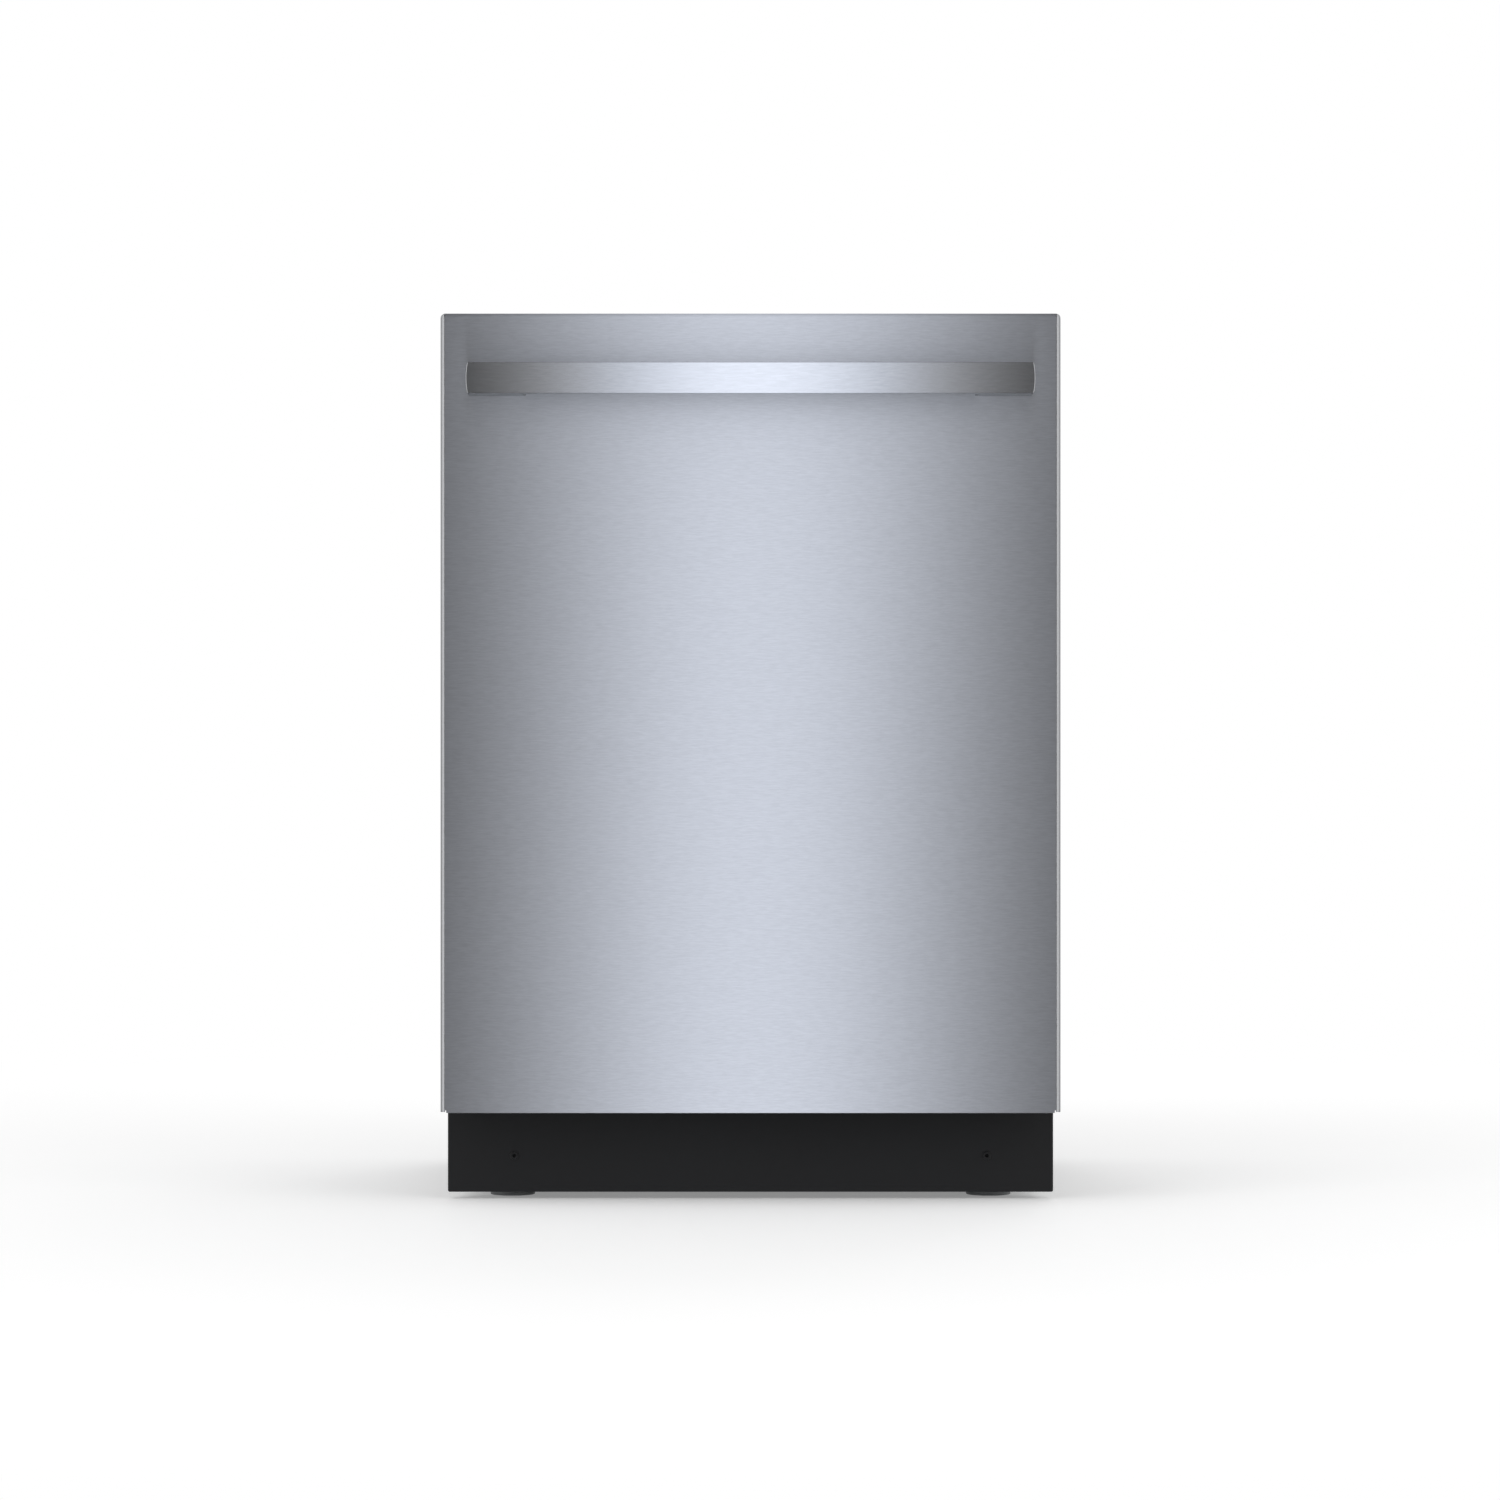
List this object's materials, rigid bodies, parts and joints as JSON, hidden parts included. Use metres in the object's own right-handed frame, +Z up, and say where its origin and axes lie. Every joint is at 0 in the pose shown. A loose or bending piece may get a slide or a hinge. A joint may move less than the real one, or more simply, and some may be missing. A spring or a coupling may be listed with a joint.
{
  "type": "built-in dishwasher",
  "caption": "Built-in dishwasher with a brushed steel drop-down door, bar handle, sliding wire racks, spray arms, pumps and a black kick plate.",
  "frame": {"origin": "centre of the overall box on the floor under the feet", "axes": "+X to the right seen from the front, +Y to the back, +Z up; the door faces -Y"},
  "size_m": [0.598, 0.645, 0.86],
  "materials": {
    "door_steel": "horizontal brushed",
    "tub_steel": "satin",
    "zinc_plate": "galvanised",
    "black_plate": "matte",
    "base_plastic": "matte",
    "grey_plastic": "satin",
    "rack_coat": "nylon coated",
    "seal_rubber": "matte",
    "felt": "felted",
    "panel_plastic": "satin",
    "window": "polished",
    "button_plastic": "satin",
    "board": "solder mask",
    "box_metal": "plated"
  },
  "bodies": {
    "cabinet": {"base_pan": "base_plastic", "door_springs": "zinc_plate", "kick_plate": "black_plate", "kick_plate_screws": "black_plate", "tub_wrapper": "tub_steel", "tub_back": "tub_steel", "tub_floor": "tub_steel", "door_gasket": "seal_rubber", "side_panel_left": "zinc_plate", "side_panel_right": "zinc_plate", "tub_insulation": "felt", "rear_insulation": "felt", "counter_brackets": "zinc_plate", "sump": "base_plastic", "filter_plate": "grey_plastic", "circulation_pump": "base_plastic", "drain_pump": "base_plastic", "inlet_valve": "base_plastic", "drain_outlet": "base_plastic", "water_duct": "grey_plastic", "ceiling_sprayer": "grey_plastic", "junction_box": "box_metal", "rack_tracks": "zinc_plate", "latch_striker": "zinc_plate", "hinge_brackets": "zinc_plate"},
    "door": {"door_skin": "door_steel", "door_liner": "tub_steel", "door_insulation": "felt", "bottom_seal": "seal_rubber", "handle_bar": "door_steel", "handle_posts": "door_steel", "handle_screws": "zinc_plate", "control_panel": "panel_plastic", "display_window": "window", "control_board": "board", "latch_housing": "grey_plastic", "hinge_arms": "zinc_plate", "dispenser_body": "grey_plastic"},
    "dispenser_cover": {"dispenser_cover": "grey_plastic"},
    "rinse_aid_cap": {"rinse_aid_cap": "grey_plastic"},
    "power_button": {"power_button": "button_plastic"},
    "program_button": {"program_button": "button_plastic"},
    "option_button": {"option_button": "button_plastic"},
    "start_button": {"start_button": "button_plastic"},
    "filter_cup": {"filter_cup": "grey_plastic"},
    "foot_front_left": {"foot_front_left": "zinc_plate"},
    "foot_front_right": {"foot_front_right": "zinc_plate"},
    "foot_rear": {"foot_rear": "zinc_plate"},
    "lower_spray_arm": {"lower_spray_arm": "grey_plastic"},
    "lower_rack": {"lower_rack": "rack_coat", "cutlery_basket": "grey_plastic"},
    "lower_wheels_front": {"lower_wheels_front": "grey_plastic"},
    "lower_wheels_rear": {"lower_wheels_rear": "grey_plastic"},
    "tine_row_left": {"tine_row_left": "rack_coat"},
    "tine_row_right": {"tine_row_right": "rack_coat"},
    "upper_rails": {"upper_rails": "zinc_plate"},
    "upper_rack": {"upper_rack": "rack_coat", "upper_feed_pipe": "grey_plastic"},
    "middle_spray_arm": {"middle_spray_arm": "grey_plastic"},
    "third_rack": {"third_rack": "rack_coat"}
  },
  "joints": [
    {"name": "door_hinge", "type": "hinge", "parent": "cabinet", "child": "door", "pos_m": [0, -0.2585, 0.131], "axis": [1, 0, 0], "range_deg": [0, 90], "stiffness_Nm_per_rad": 24},
    {"name": "cover_slide", "type": "slide", "parent": "door", "child": "dispenser_cover", "axis": [0, 0, -1], "range_m": [0, 0.062]},
    {"name": "rinse_cap_hinge", "type": "hinge", "parent": "door", "child": "rinse_aid_cap", "pos_m": [-0.007, -0.2048, 0.469], "axis": [1, 0, 0], "range_deg": [0, 95]},
    {"name": "power_button_press", "type": "slide", "parent": "door", "child": "power_button", "axis": [0, 0, -1], "range_m": [0, 0.0011], "stiffness_N_per_m": 1500, "springref_m": -0.0005},
    {"name": "program_button_press", "type": "slide", "parent": "door", "child": "program_button", "axis": [0, 0, -1], "range_m": [0, 0.0011], "stiffness_N_per_m": 1500, "springref_m": -0.0005},
    {"name": "option_button_press", "type": "slide", "parent": "door", "child": "option_button", "axis": [0, 0, -1], "range_m": [0, 0.0011], "stiffness_N_per_m": 1500, "springref_m": -0.0005},
    {"name": "start_button_press", "type": "slide", "parent": "door", "child": "start_button", "axis": [0, 0, -1], "range_m": [0, 0.0011], "stiffness_N_per_m": 1500, "springref_m": -0.0005},
    {"name": "filter_turn", "type": "hinge", "parent": "cabinet", "child": "filter_cup", "pos_m": [0.044, 0.018, 0], "axis": [0, 0, 1], "range_deg": [0, 60]},
    {"name": "foot_front_left_height", "type": "slide", "parent": "cabinet", "child": "foot_front_left", "axis": [0, 0, -1], "range_m": [0, 0.03]},
    {"name": "foot_front_right_height", "type": "slide", "parent": "cabinet", "child": "foot_front_right", "axis": [0, 0, -1], "range_m": [0, 0.03]},
    {"name": "foot_rear_height", "type": "slide", "parent": "cabinet", "child": "foot_rear", "axis": [0, 0, -1], "range_m": [0, 0.03]},
    {"name": "lower_arm_spin", "type": "hinge", "parent": "cabinet", "child": "lower_spray_arm", "pos_m": [0, 0.044, 0], "axis": [0, 0, 1], "continuous": true},
    {"name": "lower_rack_slide", "type": "slide", "parent": "cabinet", "child": "lower_rack", "axis": [0, -1, 0], "range_m": [0, 0.15]},
    {"name": "lower_wheels_front_roll", "type": "hinge", "parent": "lower_rack", "child": "lower_wheels_front", "pos_m": [0, 0.02289, 0.2003], "axis": [1, 0, 0], "range_deg": [0, 510]},
    {"name": "lower_wheels_rear_roll", "type": "hinge", "parent": "lower_rack", "child": "lower_wheels_rear", "pos_m": [0, 0.20778, 0.2003], "axis": [1, 0, 0], "range_deg": [0, 510]},
    {"name": "tine_fold_left", "type": "hinge", "parent": "lower_rack", "child": "tine_row_left", "pos_m": [-0.096, 0, 0.23222], "axis": [0, 1, 0], "range_deg": [0, 90]},
    {"name": "tine_fold_right", "type": "hinge", "parent": "lower_rack", "child": "tine_row_right", "pos_m": [0, 0, 0.23222], "axis": [0, 1, 0], "range_deg": [0, 90]},
    {"name": "upper_rail_slide", "type": "slide", "parent": "cabinet", "child": "upper_rails", "axis": [0, -1, 0], "range_m": [0, 0.22]},
    {"name": "upper_rack_slide", "type": "slide", "parent": "cabinet", "child": "upper_rack", "axis": [0, -1, 0], "range_m": [0, 0.44]},
    {"name": "middle_arm_spin", "type": "hinge", "parent": "upper_rack", "child": "middle_spray_arm", "pos_m": [0, 0.044, 0], "axis": [0, 0, 1], "continuous": true},
    {"name": "third_rack_slide", "type": "slide", "parent": "cabinet", "child": "third_rack", "axis": [0, -1, 0], "range_m": [0, 0.28]}
  ],
  "couplings": [
    {"joint": "lower_rack_slide", "follows": "door_hinge", "m_per_rad": 0.095487},
    {"joint": "lower_wheels_front_roll", "follows": "door_hinge", "ratio": 5.6172},
    {"joint": "lower_wheels_rear_roll", "follows": "door_hinge", "ratio": 5.6172},
    {"joint": "upper_rail_slide", "follows": "door_hinge", "m_per_rad": 0.14005},
    {"joint": "upper_rack_slide", "follows": "door_hinge", "m_per_rad": 0.28011},
    {"joint": "third_rack_slide", "follows": "door_hinge", "m_per_rad": 0.17825}
  ]
}
